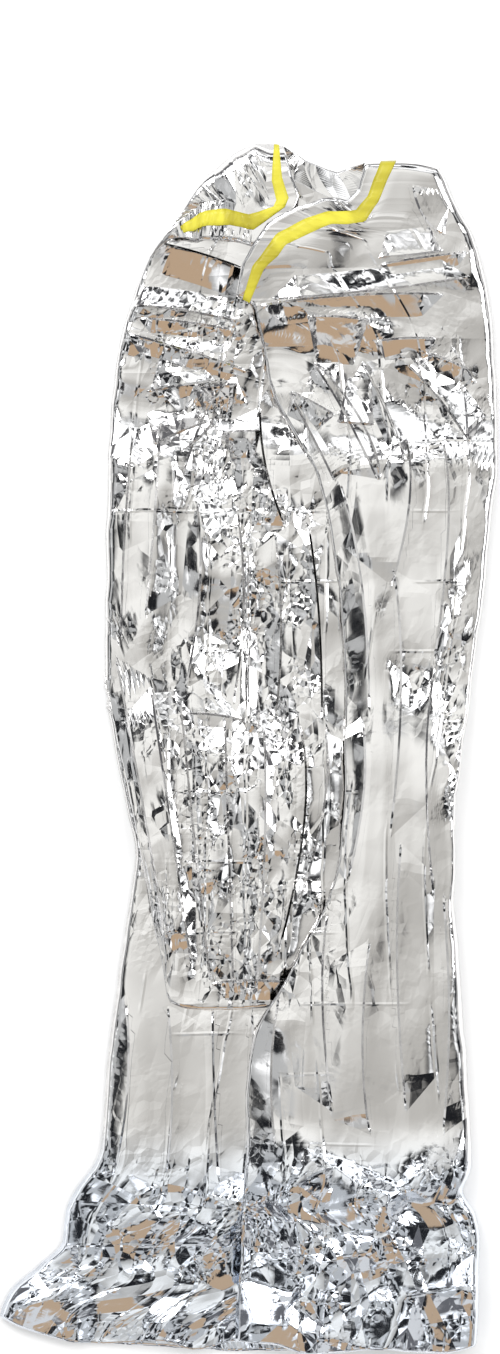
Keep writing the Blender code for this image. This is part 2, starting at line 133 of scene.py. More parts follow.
RIGHT_TOP = (
    (0.174, 147, 1575), (0.268, 132, 1560), (0.34, 121, 1564), (0.413, 97, 1563),
    (0.54, 63, 1550), (0.667, 22, 1529), (0.75, 4, 1503), (0.84, -10, 1474),
)
RIGHT_INNER = (
    (0.174, 182, 1553), (0.268, 162, 1525), (0.34, 135, 1518), (0.413, 116, 1518),
    (0.54, 83, 1504), (0.667, 54, 1491), (0.75, 46, 1478), (0.84, 27, 1461),
)
LEFT_LINES = (LEFT_TOP, LEFT_SHOULDER, POUCH, TUCK, LEFT_HEM)
print("lines across the left flap:", len(LEFT_LINES))

# %% Soft ridges of the solid, by layer: start, middle, end, half width, height (millimetres)
RIDGES = {
    "all": (
        ((0, 1440), (-80, 1380), (-185, 1390), 30, 8), ((0, 1400), (-90, 1345), (-165, 1372), 26, 10),
        ((-150, 440), (-140, 340), (-160, 230), 40, 6), ((-60, 450), (-50, 340), (-60, 230), 40, 6),
        ((40, 440), (60, 340), (50, 230), 40, 5), ((-230, 218), (-90, 240), (85, 212), 34, 20),
        ((120, 207), (210, 228), (300, 195), 34, 20), ((-262, 150), (-110, 178), (0, 145), 36, 27),
        ((45, 155), (170, 132), (312, 150), 36, 27), ((-290, 92), (-160, 112), (-60, 86), 34, 28),
        ((-15, 92), (130, 72), (310, 96), 34, 28), ((-320, 52), (-200, 48), (-110, 40), 30, 20),
        ((-70, 38), (60, 30), (155, 42), 30, 22), ((195, 38), (250, 50), (310, 40), 30, 20),
    ),
    "flaps": (
        ((-5, 1360), (-60, 1310), (-180, 1320), 34, 12), ((-15, 1300), (-60, 1200), (-70, 1060), 30, 9),
        ((10, 1290), (-10, 1180), (-20, 960), 26, 10), ((-60, 1260), (-120, 1180), (-130, 980), 34, 8),
        ((-150, 980), (-110, 760), (-100, 520), 30, 12), ((-90, 960), (-60, 760), (-40, 500), 26, 12),
        ((-10, 940), (10, 740), (0, 500), 28, 12), ((60, 960), (60, 800), (40, 560), 26, 10),
    ),
    "right": (
        ((20, 1400), (150, 1440), (300, 1475), 26, 6), ((20, 1380), (160, 1400), (320, 1400), 34, 7),
        ((60, 1400), (170, 1290), (215, 1180), 36, 8), ((215, 1200), (250, 1000), (240, 760), 44, 8),
        ((90, 1380), (220, 1340), (300, 1220), 32, 7), ((60, 1290), (140, 1180), (165, 1000), 34, 6),
        ((165, 1020), (180, 800), (170, 560), 40, 6), ((240, 760), (235, 500), (245, 300), 44, 6),
        ((150, 600), (130, 450), (110, 280), 40, 6),
    ),
}
print("ridges:", {layer: len(rows) for layer, rows in RIDGES.items()})

# %% [markdown]
# ## Curves through the lines
#
# Cubics that never swing past their points keep a folded edge from bulging where two points
# lie close. Between four such lines a Coons patch fills in the layer: it blends the rulings
# down and the rulings across, so all four sides are met.

# %% Curves and patches
TURN_ROWS = 2
TURN_REACH = 0.45
TURN_STEPS = 9
SIDE_REACH = 0.17
LEFT_TURN, BACK_TURN, RIGHT_TURN = 0.03, 0.025, 0.05


def smooth(value, start, end):
    """0 before start, 1 after end, and 3f^2 - 2f^3 between them."""
    share = np.clip((value - start) / (end - start), 0, 1)
    return share * share * (3 - 2 * share)


def through(knots, points, at):
    """Cubics through a table's rows. The slope at a row is the harmonic mean of its sides'."""
    step = np.diff(knots)[:, None]
    slope = np.diff(points, axis=0) / step
    product = slope[:-1] * slope[1:]
    total = np.where(product > 0, slope[:-1] + slope[1:], 1)
    inner = np.where(product > 0, 2 * product / total, 0)
    tangent = np.vstack([slope[:1], inner, slope[-1:]])
    i = np.clip(np.searchsorted(knots, at, "right") - 1, 0, len(knots) - 2)
    f = ((at - knots[i]) / step[i, 0])[:, None]
    start = (1 + 2 * f) * (1 - f) ** 2 * points[i] + f * (1 - f) ** 2 * step[i] * tangent[i]
    end = f * f * (3 - 2 * f) * points[i + 1] - f * f * (1 - f) * step[i] * tangent[i + 1]
    return start + end


def squeezed(rows, folds):
    """Row numbers drawn together round each fold, as rows that run round a quarter circle."""
    away = np.linspace(-1, 1, TURN_STEPS)
    knots = [0.0]
    placed = [0.0]
    for fold in folds:
        knots.extend(fold + TURN_ROWS * away)
        placed.extend(fold + TURN_REACH * np.sign(away) * (1 - np.cos(away * np.pi / 2)))
    return np.interp(rows, knots + [HEM_ROW], placed + [HEM_ROW])


def down_line(table, rows, folds=()):
    """A line down the sheet, at these rows."""
    table = np.array(table, float)
    return through(table[:, 0], table[:, 1:] * MM, squeezed(rows, folds))


def across_line(table, shares, start, end, kinked=False):
    """The line across a layer whose ends lie on its two side lines. A taped one has kinks."""
    table = np.array(table, float)
    knots = np.concatenate([[0], table[:, 0], [1]])
    points = np.vstack([start, table[:, 1:] * MM, end])
    if kinked:
        return np.stack([np.interp(shares, knots, line) for line in points.T], axis=1)
    return through(knots, points, shares)


def progress(left, right):
    """The share of the way down at each row, as the mean over a patch's two sides."""
    shares = []
    for line in (left, right):
        lengths = np.cumsum(np.linalg.norm(np.diff(line, axis=0), axis=1))
        shares.append(np.concatenate([[0], lengths / lengths[-1]]))
    return (shares[0] + shares[1]) / 2


def coons(top, bottom, left, right, shares):
    """The Coons patch between four lines: rulings down, plus rulings across, less corners."""
    v = progress(left, right)[:, None, None]
    u = shares[None, :, None]
    down = (1 - v) * top + v * bottom
    over = (1 - u) * left[:, None] + u * right[:, None]
    ends = (1 - u) * down[:, :1] + u * down[:, -1:]
    return down + over - ends


def meet_sides(plan, left, right, shares):
    """The plan, moved near each side so that its ends lie on the layer's two side lines."""
    u = shares[None, :, None]
    near_left = np.clip(1 - u / SIDE_REACH, 0, 1)
    near_right = np.clip(1 - (1 - u) / SIDE_REACH, 0, 1)
    to_left = (left[:, None] - plan[:, :1]) * near_left
    to_right = (right[:, None] - plan[:, -1:]) * near_right
    return plan + (to_left + to_right)


def round_fold(shares, turn):
    """0 at a side fold, rising as a quarter circle to 1 where the turn ends."""
    return np.sqrt(1 - (1 - np.clip(shares / turn, 0, 1)) ** 2)


def round_row(rows, fold):
    """0 at a fold across the sheet, rising as a quarter circle over the rows beside it."""
    return np.sin(np.clip(np.abs(rows - fold) / TURN_ROWS, 0, 1) * np.pi / 2)


print("half way round a fold:", round(float(round_fold(LEFT_TURN / 2, LEFT_TURN)), 3))

# %% [markdown]
# ## Creases placed one by one
#
# The photograph shows bands across the upper part, long creases that run down the flaps, and
# pleats that all meet where the edge is gathered. A crease in film is a sharp crest with two
# flat slopes: a gentle one, which stays one shade, and a steep one, which shows as a line. The
# gentle slope of each crease here lies to the left as one walks along it.

# %% Creases by layer: start, middle, end, width of the gentle slope, height (millimetres)
CREASES = {
    "right": (
        ((176, 1183), (150, 1260), (88, 1340), 56, 6), ((152, 1340), (190, 1270), (210, 1206), 64, 6),
        ((302, 1315), (292, 1330), (273, 1360), 32, 3), ((55, 1300), (92, 1230), (115, 1183), 40, 4),
        ((190, 1040), (214, 1150), (210, 1236), 72, 7), ((262, 1236), (270, 1120), (250, 930), 56, 6),
        ((160, 860), (150, 1040), (120, 1180), 44, 4), ((196, 1060), (206, 900), (190, 700), 44, 4),
        ((130, 640), (152, 760), (150, 860), 44, 4), ((205, 690), (200, 520), (212, 330), 48, 5),
        ((246, 620), (236, 800), (250, 930), 44, 4), ((262, 620), (270, 460), (262, 300), 48, 5),
        ((110, 330), (96, 480), (104, 600), 44, 4), ((40, 480), (30, 380), (36, 280), 40, 4),
        ((160, 300), (150, 420), (160, 560), 48, 5), ((222, 1580), (236, 1540), (262, 1516), 32, 3),
        ((262, 1432), (138, 1430), (14, 1417), 30, 9), ((159, 1397), (118, 1401), (78, 1401), 62, 19),
        ((294, 1489), (236, 1482), (177, 1472), 16, 5), ((113, 1269), (84, 1286), (56, 1300), 30, 9),
        ((109, 252), (88, 245), (68, 231), 40, 12), ((31, 1428), (163, 1439), (295, 1458), 28, 8),
        ((120, 1262), (143, 1260), (166, 1258), 60, 17), ((177, 1484), (218, 1488), (258, 1493), 34, 9),
        ((216, 1337), (257, 1292), (298, 1234), 36, 11), ((88, 1340), (131, 1270), (174, 1183), 30, 8),
        ((209, 1208), (180, 1280), (152, 1340), 24, 6), ((250, 1372), (210, 1372), (170, 1368), 26, 8),
        ((292, 1330), (266, 1343), (240, 1352), 20, 6),
    ),
    "left": (
        ((-92, 1224), (-50, 1270), (-75, 1312), 56, 10), ((-20, 1322), (-60, 1270), (-95, 1168), 48, 8),
        ((46, 1120), (20, 1200), (12, 1280), 44, 7), ((-120, 1260), (-128, 1130), (-140, 1000), 44, 7),
        ((-176, 960), (-172, 1100), (-160, 1250), 40, 7), ((-72, 1160), (-66, 1040), (-86, 900), 40, 7),
        ((-24, 880), (-10, 1020), (-20, 1150), 44, 7), ((36, 1110), (44, 980), (36, 860), 40, 7),
        ((96, 860), (92, 1000), (78, 1120), 36, 6), ((-180, 940), (-150, 780), (-112, 560), 40, 7),
        ((-80, 520), (-112, 740), (-136, 900), 40, 7), ((-92, 880), (-74, 700), (-52, 500), 40, 7),
        ((-24, 490), (-30, 680), (-36, 860), 40, 7), ((20, 850), (22, 700), (10, 490), 40, 7),
        ((36, 540), (72, 720), (66, 850), 36, 6), ((104, 840), (100, 730), (60, 590), 40, 7),
        ((-8, 1467), (-66, 1488), (-125, 1503), 40, 12), ((-4, 1329), (-84, 1356), (-165, 1379), 20, 6),
        ((-19, 1311), (-47, 1309), (-75, 1303), 44, 13), ((14, 1247), (-12, 1248), (-37, 1244), 52, 15),
        ((16, 847), (-36, 861), (-88, 864), 15, 5), ((54, 500), (3, 504), (-48, 500), 25, 7),
        ((-136, 1304), (-92, 1312), (-48, 1319), 16, 5), ((-160, 1420), (-90, 1414), (-20, 1400), 26, 8),
        ((-20, 1384), (-85, 1395), (-150, 1400), 18, 5), ((-130, 1232), (-95, 1249), (-60, 1262), 40, 10),
    ),
    "low": (
        ((-190, 230), (-168, 350), (-170, 480), 44, 4), ((-110, 470), (-104, 350), (-112, 240), 44, 4),
        ((-44, 230), (-50, 350), (-52, 470), 44, 2), ((4, 460), (6, 350), (-2, 240), 44, 4),
        ((-234, 143), (-266, 134), (-299, 120), 45, 14),
    ),
}
ARC_STEPS = 8
STEEP_IN_GRID = 24
SOFT_CREASE = 0.30
CREASE_KEEP = 0.30
BANDED_FOOT = (1.20, 1.30)


def beside(x, y, corners):
    """Distance from the arc, more than 0 on its left, and the share of the arc passed."""
    start, middle, end = np.array(corners, float) * MM
    bend = 2 * middle - (start + end) / 2
    f = np.linspace(0, 1, ARC_STEPS + 1)[:, None]
    arc = (1 - f) ** 2 * start + 2 * f * (1 - f) * bend + f * f * end
    nearest = np.full(x.shape, np.inf)
    signed = np.zeros(x.shape)
    passed = np.zeros(x.shape)
    for i in range(ARC_STEPS):
        a, run = arc[i], arc[i + 1] - arc[i]
        along = np.clip(((x - a[0]) * run[0] + (y - a[1]) * run[1]) / (run @ run), 0, 1)
        off_x, off_y = x - a[0] - along * run[0], y - a[1] - along * run[1]
        away = np.hypot(off_x, off_y)
        side = np.where(run[0] * off_y - run[1] * off_x > 0, 1, -1)
        closer = away < nearest
        signed = np.where(closer, away * side, signed)
        passed = np.where(closer, (i + along) / ARC_STEPS, passed)
        nearest = np.minimum(nearest, away)
    return signed, passed


def tent(x, y, corners, left_width, right_width, height):
    """h (1 - d / w) at a distance d from the arc, with w as wide as that side's slope."""
    signed, _ = beside(x, y, corners)
    width = np.where(signed > 0, left_width, right_width) * MM
    return height * MM * np.clip(1 - np.abs(signed) / width, 0, 1)


def creases(layer, x, y):
    """The highest of a layer's creases at each point, lower where the film is smooth."""
    highest = np.zeros(x.shape)
    for *corners, wide, height in CREASES[layer]:
        highest = np.maximum(highest, tent(x, y, corners, wide, STEEP_IN_GRID, height))
    firm = np.maximum(crumpled(x, y), smooth(y, *BANDED_FOOT))
    return CREASE_KEEP * highest * (SOFT_CREASE + (1 - SOFT_CREASE) * firm)


print("creases:", {layer: len(rows) for layer, rows in CREASES.items()})

# %% [markdown]
# ## Crumples
#
# Crumpled film keeps flat facets that meet in straight creases. Scatter two sets of seeds,
# and take the squared distance to the nearest seed of one set less that of the other. The
# squares of x and y cancel, so what is left is a plane between every two seeds, and planes
# that meet without a step: facets. A sheet that was packed small also has a lattice of
# packing creases, so the knots of a lattice get small heights of their own.
#
# Some places are far more crumpled than others. A short list of places says how much.

# %% How crumpled each place is: x, y, half width, half height (millimetres), strength
CRUMPLED = (
    (-140, 900, 70, 340, 0.30),
    (20, 1010, 95, 180, 1.00),
    (-10, 690, 120, 215, 1.00),
    (210, 860, 90, 340, 0.10),
    (275, 905, 22, 170, 0.90),
    (214, 918, 26, 40, 0.80),
    (60, 360, 260, 100, 0.12),
    (0, 130, 380, 125, 1.00),
    (-85, 1360, 90, 110, 0.95),
    (-80, 1210, 80, 60, 1.00),
    (-90, 1455, 60, 30, 0.35),
    (-30, 1560, 90, 60, 0.80),
    (60, 1500, 60, 40, 0.40),
    (190, 1480, 110, 90, 0.25),
    (60, 1350, 50, 60, 0.60),
    (130, 1372, 44, 30, 0.60),
    (260, 1300, 60, 90, 0.50),
    (150, 1270, 60, 60, 0.25),
)
BASE_CRUMPLE = 0.2
PLACE_EDGE = 0.45


HASH_STEPS = (127.1, 311.7, 74.7)
HASH_SIZE = 43758.5453
OTHER_SET = 7


def hashed(i, j, seed):
    """A number from 0 to 1 for each cell of a lattice: the fraction of a large sine."""
    of_i, of_j, of_seed = HASH_STEPS
    value = np.sin(i * of_i + j * of_j + seed * of_seed) * HASH_SIZE
    return value - np.floor(value)


def nearest_seed(x, y, pitch, seed):
    """The squared distance, in cells, to the nearest seed, with one seed in each cell."""
    u, v = x / pitch, y / pitch
    i, j = np.floor(u), np.floor(v)
    nearest = np.full(x.shape, np.inf)
    for di in (-1, 0, 1):
        for dj in (-1, 0, 1):
            a, b = i + di, j + dj
            away = (a + hashed(a, b, seed) - u) ** 2 + (b + hashed(a, b, seed + 1) - v) ** 2
            nearest = np.minimum(nearest, away)
    return nearest


def facets(x, y, pitch, seed):
    """Planes that meet in creases: one set's squared distance less another set's."""
    other = nearest_seed(x, y, pitch, seed + OTHER_SET)
    return pitch * (nearest_seed(x, y, pitch, seed) - other)


def lattice(x, y, wide, long, seed):
    """Knots of a lattice at heights from -1 to 1, and what lies between them bilinear."""
    u, v = x / wide, y / long
    i, j = np.floor(u), np.floor(v)
    f, g = u - i, v - j
    knots = [[hashed(i + a, j + b, seed) * 2 - 1 for b in (0, 1)] for a in (0, 1)]
    left = knots[0][0] * (1 - g) + knots[0][1] * g
    right = knots[1][0] * (1 - g) + knots[1][1] * g
    return left * (1 - f) + right * f


def crumpled(x, y):
    """How crumpled a place is, from 0 to 1. Each listed place fades out towards its rim."""
    amount = np.full(x.shape, BASE_CRUMPLE)
    for at_x, at_y, half_wide, half_high, strength in CRUMPLED:
        away = np.hypot((x / MM - at_x) / half_wide, (y / MM - at_y) / half_high)
        amount += (strength - amount) * (1 - smooth(away, 1 - PLACE_EDGE, 1 + PLACE_EDGE))
    return amount


spread_of_facets = facets(*np.meshgrid(np.linspace(0, 1, 80), np.linspace(0, 1, 80)), 0.05, 3)
print("facets at a pitch of 50 mm are", np.ptp(spread_of_facets).round(4), "m deep")

# %% [markdown]
# ## Heights
#
# Layers lie on each other, so their heights are nested: each is the height of the layer
# below, plus a gap, plus its own folds. Folds that all layers share are functions of the
# place on the floor alone, and so the layers never pass through each other.

# %% Heights of the layers
LAYER_GAP = 0.009
FLAP_GAP = 0.010
HEAP_GAP = 0.011
POUCH_LIFT = 0.015
LIFT_OF_RIGHT = 0.003
POUCH_FOOT = (0.38, 0.46)
POUCH_HEAD = (0.79, 0.92)
OVER_POUCH = (0.06, 0.47)
COLLAR_SIDE = (0.08, 0.17)
COLLAR_FRONT = (1.39, 1.48)
COLLAR_FOLD_ROW = 2
COLLAR_FADE_ROWS = 5
HEAP_HEAD = (0.22, 0.32)
HEAP_PITCH, HEAP_SLOPE, HEAP_LOOSE = 0.10, 0.23, 0.004
FACET_PITCH = (0.13, 0.08)
FACET_SLOPE = (0.06, 0.04)
RIDGE_KEEP, HEAP_KEEP = 0.38, 0.10
LOW_SHARE, FRONT_SHARE = 0.7, 0.6
LEFT_SEED, RIGHT_SEED, HEAP_SEED = 1, 31, 61
PANEL = (0.053, 0.095)
PANEL_HEIGHT = 0.0022
COVERED = 0.8
COVER_WIDTH = 0.09


def ridges(layer, x, y):
    """The sum of a layer's ridges, as straight slopes where the solid has rounded ones."""
    total = np.zeros(x.shape)
    for *corners, half_width, height in RIDGES[layer]:
        total += tent(x, y, corners, half_width, half_width, height)
    return total * (RIDGE_KEEP + (HEAP_KEEP - RIDGE_KEEP) * heap(x, y))


def heap(x, y):
    """1 in the heap at the hem, and 0 above it."""
    return 1 - smooth(y, *HEAP_HEAD)


def crumples(x, y, seed):
    """Facets of two sizes, as deep as the place is crumpled, on a lattice of packing creases."""
    amount = crumpled(x, y)
    in_heap = heap(x, y)
    total = PANEL_HEIGHT * lattice(x, y, *PANEL, seed)
    total += in_heap * (HEAP_LOOSE + HEAP_SLOPE * facets(x, y, HEAP_PITCH, HEAP_SEED))
    for pitch, slope in zip(FACET_PITCH, FACET_SLOPE):
        total += amount * slope * facets(x, y, pitch, seed)
    return total


def shown(x, y):
    """1 where the left flap shows, less where the right flap covers it and holds it down."""
    line = np.array(RIGHT_EDGE, float)[::-1, 1:] * MM
    return 1 - COVERED * smooth(x - np.interp(y, line[:, 1], line[:, 0]), 0, COVER_WIDTH)


def under_height(x, y):
    """The left flap below its pouch and behind it."""
    own = creases("low", x, y) + crumples(x, y, LEFT_SEED) * LOW_SHARE
    return SHEET_THICK / 2 + LAYER_GAP + (ridges("all", x, y) + own) * shown(x, y)


def front_height(x, y):
    """The front of the left flap, before its pouch is lifted."""
    own = creases("left", x, y) + crumples(x, y, LEFT_SEED) * FRONT_SHARE
    return under_height(x, y) + (ridges("flaps", x, y) + own) * shown(x, y)


def flap_height(x, y):
    """As high as the front of the left flap would be if nothing covered it."""
    return SHEET_THICK / 2 + LAYER_GAP + ridges("all", x, y) + ridges("flaps", x, y)


def pouch_height(y, foot=POUCH_FOOT):
    """How far the pouch is lifted off the layer behind it."""
    return POUCH_LIFT * smooth(y, *foot) * (1 - smooth(y, *POUCH_HEAD))


def right_height(x, y):
    """The right flap, above the left flap, its pouch and the collar."""
    over_collar = (1 - smooth(x, *COLLAR_SIDE)) * smooth(y, *COLLAR_FRONT)
    lift = pouch_height(y, OVER_POUCH) + FLAP_GAP * over_collar
    own = ridges("right", x, y) + creases("right", x, y) + LIFT_OF_RIGHT
    in_heap = heap(x, y)
    below, above = crumples(x, y, LEFT_SEED), crumples(x, y, RIGHT_SEED)
    facets_here = below * in_heap + above * (1 - in_heap)
    return flap_height(x, y) + lift + HEAP_GAP * in_heap + FLAP_GAP + own + facets_here


def left_fold_height(rows, fold):
    """Half way between the layers that the left fold joins."""
    flap = flap_height(fold[:, 0], fold[:, 1])
    floor = SHEET_THICK / 2
    to_collar = FLAP_GAP * (1 - smooth(rows, SHOULDER_ROW, SHOULDER_ROW + COLLAR_FADE_ROWS))
    to_flap = (flap - floor) * (1 - smooth(rows, COLLAR_FOLD_ROW, SHOULDER_ROW))
    return (floor + flap + to_collar + to_flap) / 2


near_top = right_height(np.array([0.15]), np.array([1.4]))
print("right flap's height near its top:", near_top.round(4))

# %% [markdown]
# ## Three layers
#
# Each layer is a patch between its side fold and its other edge, seen from above, with a
# height at every point. Near a side fold the height runs to a point half way between the two
# layers that meet there, along a quarter circle, so that both together make a round fold.

# %% The left flap
POUCH_TURN = 0.1


def left_flap(rows, shares):
    """Down to the pouch's fold, back up behind it, and down to the hem."""
    folds = (SHOULDER_ROW, POUCH_ROW, TUCK_ROW)
    fold = down_line(LEFT_FOLD, rows, folds)
    edge = down_line(LEFT_EDGE, rows, folds)
    stops = (0, SHOULDER_ROW, POUCH_ROW, TUCK_ROW, HEM_ROW)
    ends = [down_line(table, np.array(stops, float)) for table in (LEFT_FOLD, LEFT_EDGE)]
    lines = [across_line(t, shares, a, b) for t, a, b in zip(LEFT_LINES, *ends)]
    plan = np.zeros((len(rows), len(shares), 2))
    for i in range(4):
        band = (rows >= stops[i]) & (rows <= stops[i + 1])
        plan[band] = coons(lines[i], lines[i + 1], fold[band], edge[band], shares)
    x, y = plan[..., 0], plan[..., 1]
    row = rows[:, None]
    opening = smooth(shares, 0, POUCH_TURN)
    front = front_height(x, y) + pouch_height(y) * opening
    behind = under_height(x, y)
    between = behind + POUCH_LIFT / 2 * opening
    height = np.where(row <= POUCH_ROW, front, np.where(row <= TUCK_ROW, between, behind))
    for stop, above, below in ((POUCH_ROW, front, between), (TUCK_ROW, between, behind)):
        half_way = (above + below) / 2
        height = half_way + (height - half_way) * round_row(row, stop)
    at_fold = left_fold_height(rows, fold)[:, None]
    height = at_fold + (height - at_fold) * round_fold(shares, LEFT_TURN)
    return np.dstack([plan, height])


TEST_ROWS = np.array([0.0, BORDER_ROW, SHOULDER_ROW, POUCH_ROW, TUCK_ROW, HEM_ROW])
TEST_SHARES = np.array([0.0, 0.5, 1.0])
print("left flap at its pouch:", left_flap(TEST_ROWS, TEST_SHARES)[3, 1])

# %% The back and its collar
COLLAR_TAPE = (0.08, 0.56)
COLLAR_END = 0.56
COLLAR_END_TURN = 0.015
BACK_SHARE = 0.5
BACK_MOST = 0.001
BACK_SEED = 17


def right_fold_height(fold):
    """Half way between the back and the right flap."""
    return (SHEET_THICK / 2 + right_height(fold[:, 0], fold[:, 1])) / 2


def collar(rows, shares, fold, far_fold):
    """The collar, turned forward over the shoulder line, and the back's edge at the opening."""
    edge = across_line(COLLAR_EDGE, shares, fold[0], far_fold[0], kinked=True)
    shoulder = across_line(SHOULDER, shares, fold[-1], far_fold[-1])
    under_border = np.argmin(np.abs(rows - BORDER_ROW))
    ends = fold[under_border], far_fold[under_border]
    inner = across_line(COLLAR_INNER, shares, *ends, kinked=True)
    v = np.interp(rows, *np.transpose(COLLAR_DOWN))[:, None, None]
    plan = np.where(v <= 1, edge + (inner - edge) * v, inner + (shoulder - inner) * (v - 1))
    return meet_sides(plan, fold, far_fold, shares)


def back(rows, shares):
    """The layer that lies flat on the floor, with the collar at its top."""
    fold = down_line(LEFT_FOLD, rows, (SHOULDER_ROW, POUCH_ROW, TUCK_ROW))
    far_fold = down_line(RIGHT_FOLD, rows, (SHOULDER_ROW,))
    top = rows <= SHOULDER_ROW
    main = rows >= SHOULDER_ROW
    shoulder = across_line(SHOULDER, shares, fold[main][0], far_fold[main][0])
    hem = across_line(BACK_HEM, shares, fold[-1], far_fold[-1])
    plan = np.zeros((len(rows), len(shares), 2))
    plan[main] = coons(shoulder, hem, fold[main], far_fold[main], shares)
    plan[top] = collar(rows[top], shares, fold[top], far_fold[top])
    x, y = plan[..., 0], plan[..., 1]
    floor = SHEET_THICK / 2
    full = flap_height(x, y) + FLAP_GAP - floor
    at_shoulder = round_row(rows[:, None], SHOULDER_ROW)
    before_end = round_fold(np.maximum(COLLAR_END - shares, 0), COLLAR_END_TURN)
    past_end = round_fold(np.maximum(shares - COLLAR_END, 0), COLLAR_END_TURN)
    over = 1 + at_shoulder * before_end
    turned = np.where(top[:, None], over, 1 - at_shoulder) * (1 - past_end) * full / 2
    near_left = 1 - round_fold(shares, BACK_TURN)
    near_right = 1 - round_fold(1 - shares, BACK_TURN)
    left = (left_fold_height(rows, fold)[:, None] - floor) * near_left
    right = (right_fold_height(far_fold)[:, None] - floor) * near_right
    collar_lift = turned * (1 - near_left) + left
    lift = np.where(top[:, None], np.maximum(collar_lift, right), np.maximum(turned, left + right))
    own = crumples(x, y, BACK_SEED) * BACK_SHARE
    on_collar = own * at_shoulder * before_end * (1 - near_left)
    on_floor = np.clip(own, 0, BACK_MOST) * (1 - near_left)
    lift += np.where(top[:, None], on_collar, on_floor)
    return np.dstack([plan, floor + lift])


print("the back's middle:", back(TEST_ROWS, TEST_SHARES)[3, 1])

# %% The right flap
NECK_SAG = 0.003
EDGE_STRIP = 0.74
EDGE_SAG, EDGE_SAG_IN_HEAP = 0.004, 0.004


def right_flap(rows, shares):
    """The flap on top, with its border along the opening and its free edge down the front."""
    fold = down_line(RIGHT_FOLD, rows, (SHOULDER_ROW,))
    edge = down_line(RIGHT_EDGE, rows)
    top = across_line(RIGHT_TOP, shares, fold[0], edge[0], kinked=True)
    border = rows <= BORDER_ROW
    main = rows >= BORDER_ROW
    inner = across_line(RIGHT_INNER, shares, fold[main][0], edge[main][0], kinked=True)
    hem = across_line(RIGHT_HEM, shares, fold[-1], edge[-1])
    plan = np.zeros((len(rows), len(shares), 2))
    plan[main] = coons(inner, hem, fold[main], edge[main], shares)
    v = np.interp(rows[border], *np.transpose(BORDER_DOWN))[:, None, None]
    plan[border] = meet_sides(top + (inner - top) * v, fold[border], edge[border], shares)
    x, y = plan[..., 0], plan[..., 1]
    near_neck = 1 - smooth(rows, 0, BORDER_ROW)[:, None]
    near_edge = np.clip((shares - EDGE_STRIP) / (1 - EDGE_STRIP), 0, 1)
    loose = pouch_height(y, OVER_POUCH) - pouch_height(y) + EDGE_SAG_IN_HEAP * heap(x, y)
    sag = np.maximum(NECK_SAG * near_neck, (EDGE_SAG + loose) * near_edge)
    at_fold = right_fold_height(fold)[:, None]
    height = at_fold + (right_height(x, y) - sag - at_fold) * round_fold(shares, RIGHT_TURN)
    return np.dstack([plan, height])


print("right flap's corner:", right_flap(TEST_ROWS, TEST_SHARES)[0, 2])

# %% [markdown]
# ## The sheet as one grid
#
# One grid of rows and columns runs round the whole spiral. The steps are fine where the
# sheet shows and coarse where a layer is hidden. The film is given a little thickness with
# Solidify, which closes its rim as well. Its UV map is the unrolled sheet in metres, so
# that a pattern in the material keeps its size and follows the sheet round its folds.

# %% Make the sheet's grid
def steps(stops, counts):
    """Values from stop to stop, with as many equal steps between each two as counts says."""
    runs = [np.linspace(a, b, n, endpoint=False) for a, b, n in zip(stops, stops[1:], counts)]
    return np.concatenate(runs + [[stops[-1]]])


ROW_STOPS = (0, *TAPE_ROWS, BORDER_ROW, SHOULDER_ROW, POUCH_ROW, TUCK_ROW, HEM_ROW)
ROWS = steps(ROW_STOPS, (3, 3, 3, 10, 138, 16, 106))
LEFT_SEEN = 0.72
LEFT_SHARES = steps((0, LEFT_TURN, LEFT_SEEN, 1), (5, 56, 7))
BACK_STOPS = (0, BACK_TURN, *COLLAR_TAPE, COLLAR_END + COLLAR_END_TURN, 1 - BACK_TURN, 1)
BACK_SHARES = steps(BACK_STOPS, (3, 2, 22, 3, 7, 4))
RIGHT_SHARES = steps((0, RIGHT_TURN, 1), (5, 53))
LEFT_WIDTH, BACK_WIDTH = 0.455, 0.51
HIDDEN_LENGTH = 1.0


def unrolled(rows, left, back_layer, right, at_fold, at_far_fold):
    """UV of the grid in metres: across from fold to fold, and down the sheet."""
    far = LEFT_WIDTH + BACK_WIDTH
    u_left = LEFT_WIDTH - (left[..., 0] - at_fold)
    u_back = LEFT_WIDTH + BACK_SHARES * BACK_WIDTH + 0 * back_layer[..., 0]
    u_right = far + (at_far_fold - right[..., 0])
    hidden = HIDDEN_LENGTH * smooth(rows, POUCH_ROW, TUCK_ROW)[:, None]
    all_left, none_left = np.ones(u_left.shape[1] - 1), np.zeros(u_right.shape[1])
    of_left = np.concatenate([all_left, 1 - BACK_SHARES[:-1], none_left])
    shoulder = np.argmin(np.abs(rows - SHOULDER_ROW))
    v_back = back_layer[..., 1].copy()
    v_back[:shoulder] = 2 * v_back[shoulder] - v_back[:shoulder]
    u = np.concatenate([u_left[:, :0:-1], u_back[:, :-1], u_right], axis=1)
    v = np.concatenate([left[:, :0:-1, 1], v_back[:, :-1], right[..., 1]], axis=1)
    return np.dstack([u, v - hidden * of_left])


left_layer = left_flap(ROWS, LEFT_SHARES)
back_layer = back(ROWS, BACK_SHARES)
right_layer = right_flap(ROWS, RIGHT_SHARES)
sheet = np.concatenate([left_layer[:, :0:-1], back_layer[:, :-1], right_layer], axis=1)
flat_map = unrolled(
    ROWS, left_layer, back_layer, right_layer, left_layer[:, :1, 0], right_layer[:, :1, 0]
)
amount = crumpled(sheet[..., 0], sheet[..., 1])

middle = (sheet.min(axis=(0, 1)) + sheet.max(axis=(0, 1))) / 2
sheet[..., :2] -= middle[:2]
box = [corner(sheet, axis=(0, 1)).round(4) for corner in (np.min, np.max)]
print("grid", sheet.shape[:2], "box", *box)

